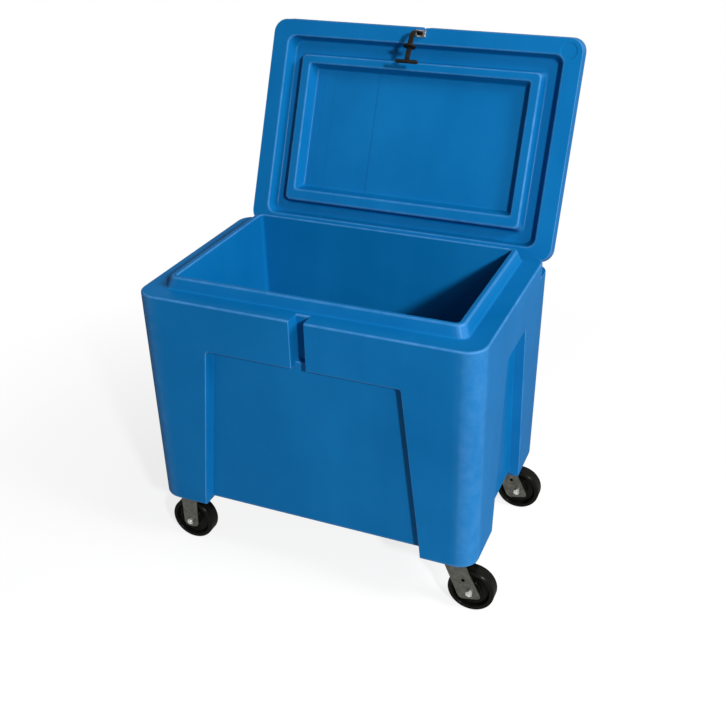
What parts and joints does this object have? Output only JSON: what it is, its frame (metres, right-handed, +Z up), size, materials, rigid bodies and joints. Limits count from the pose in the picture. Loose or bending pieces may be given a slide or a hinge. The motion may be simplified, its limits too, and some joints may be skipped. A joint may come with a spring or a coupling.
{
  "type": "rolling insulated container",
  "caption": "Insulated plastic container on swivel and rigid casters, with a deep open storage space, raised rim, hinged lid leaning open and a pull latch.",
  "frame": {"origin": "on the floor under the middle of the whole outline, with the lid standing open and the swivel casters trailing towards +X", "axes": "+X along the long side towards the swivel casters, +Y from the latch side to the hinge side, +Z up from the floor"},
  "size_m": [1.152, 1.108, 1.5869],
  "materials": {
    "blue_plastic": "satin moulded plastic, mid blue",
    "insulating_foam": "rigid foam sealed between the skins, assumed, not seen",
    "blue_plug": "satin moulded plug, assumed, not seen",
    "black_rubber": "matt black rubber",
    "stainless_steel": "bright stainless steel",
    "zinc_steel": "dull zinc-plated pressed steel",
    "bright_bolts": "bright zinc-plated bolts and nuts",
    "black_wheel": "hard black wheel, semi-gloss"
  },
  "bodies": {
    "box": {"body_shell": "blue_plastic", "body_foam": "insulating_foam", "body_fill_plug": "blue_plug", "hinge_rod": "stainless_steel", "hinge_cap_left": "stainless_steel", "hinge_cap_right": "stainless_steel", "fork_front_left": "zinc_steel", "sleeve_front_left": "zinc_steel", "axle_bolt_front_left": "bright_bolts", "axle_nut_front_left": "bright_bolts", "plate_bolt_front_left_1": "bright_bolts", "plate_bolt_front_left_2": "bright_bolts", "plate_bolt_front_left_3": "bright_bolts", "plate_bolt_front_left_4": "bright_bolts", "fork_back_left": "zinc_steel", "sleeve_back_left": "zinc_steel", "axle_bolt_back_left": "bright_bolts", "axle_nut_back_left": "bright_bolts", "plate_bolt_back_left_1": "bright_bolts", "plate_bolt_back_left_2": "bright_bolts", "plate_bolt_back_left_3": "bright_bolts", "plate_bolt_back_left_4": "bright_bolts", "caster_plate_front_right": "zinc_steel", "ball_ring_front_right": "zinc_steel", "king_pin_front_right": "zinc_steel", "plate_bolt_front_right_1": "bright_bolts", "plate_bolt_front_right_2": "bright_bolts", "plate_bolt_front_right_3": "bright_bolts", "plate_bolt_front_right_4": "bright_bolts", "caster_plate_back_right": "zinc_steel", "ball_ring_back_right": "zinc_steel", "king_pin_back_right": "zinc_steel", "plate_bolt_back_right_1": "bright_bolts", "plate_bolt_back_right_2": "bright_bolts", "plate_bolt_back_right_3": "bright_bolts", "plate_bolt_back_right_4": "bright_bolts"},
    "lid": {"lid_shell": "blue_plastic", "lid_foam": "insulating_foam", "lid_fill_plug": "blue_plug", "latch_clip": "stainless_steel", "latch_clip_screw_left": "stainless_steel", "latch_clip_screw_right": "stainless_steel", "latch_pin": "stainless_steel"},
    "latch_strap": {"latch_strap": "black_rubber"},
    "swivel_front_right": {"fork_front_right": "zinc_steel", "sleeve_front_right": "zinc_steel", "axle_bolt_front_right": "bright_bolts", "axle_nut_front_right": "bright_bolts"},
    "swivel_back_right": {"fork_back_right": "zinc_steel", "sleeve_back_right": "zinc_steel", "axle_bolt_back_right": "bright_bolts", "axle_nut_back_right": "bright_bolts"},
    "wheel_front_right": {"wheel_front_right": "black_wheel"},
    "wheel_back_right": {"wheel_back_right": "black_wheel"},
    "wheel_front_left": {"wheel_front_left": "black_wheel"},
    "wheel_back_left": {"wheel_back_left": "black_wheel"}
  },
  "joints": [
    {"name": "lid_hinge", "type": "hinge", "parent": "box", "child": "lid", "pos_m": [-0.0242, 0.17962, 0.92593], "axis": [1, 0, 0], "range_deg": [0, 112.27]},
    {"name": "latch_hang", "type": "hinge", "parent": "lid", "child": "latch_strap", "pos_m": [-0.0242, 0.46354, 1.56857], "axis": [1, 0, 0], "range_deg": [-80, 0]},
    {"name": "swivel_front_right", "type": "hinge", "parent": "box", "child": "swivel_front_right", "pos_m": [0.4438, -0.44918, 0.18], "axis": [0, 0, 1], "continuous": true},
    {"name": "wheel_spin_front_right", "type": "hinge", "parent": "swivel_front_right", "child": "wheel_front_right", "pos_m": [0.5002, -0.44918, 0.07583], "axis": [0, 1, 0], "continuous": true},
    {"name": "swivel_back_right", "type": "hinge", "parent": "box", "child": "swivel_back_right", "pos_m": [0.4438, 0.12982, 0.18], "axis": [0, 0, 1], "continuous": true},
    {"name": "wheel_spin_back_right", "type": "hinge", "parent": "swivel_back_right", "child": "wheel_back_right", "pos_m": [0.5002, 0.12982, 0.07583], "axis": [0, 1, 0], "continuous": true},
    {"name": "wheel_spin_front_left", "type": "hinge", "parent": "box", "child": "wheel_front_left", "pos_m": [-0.5002, -0.44918, 0.07583], "axis": [0, 1, 0], "continuous": true},
    {"name": "wheel_spin_back_left", "type": "hinge", "parent": "box", "child": "wheel_back_left", "pos_m": [-0.5002, 0.12982, 0.07583], "axis": [0, 1, 0], "continuous": true}
  ],
  "couplings": [
    {"joint": "latch_hang", "follows": "lid_hinge", "ratio": -0.706}
  ]
}
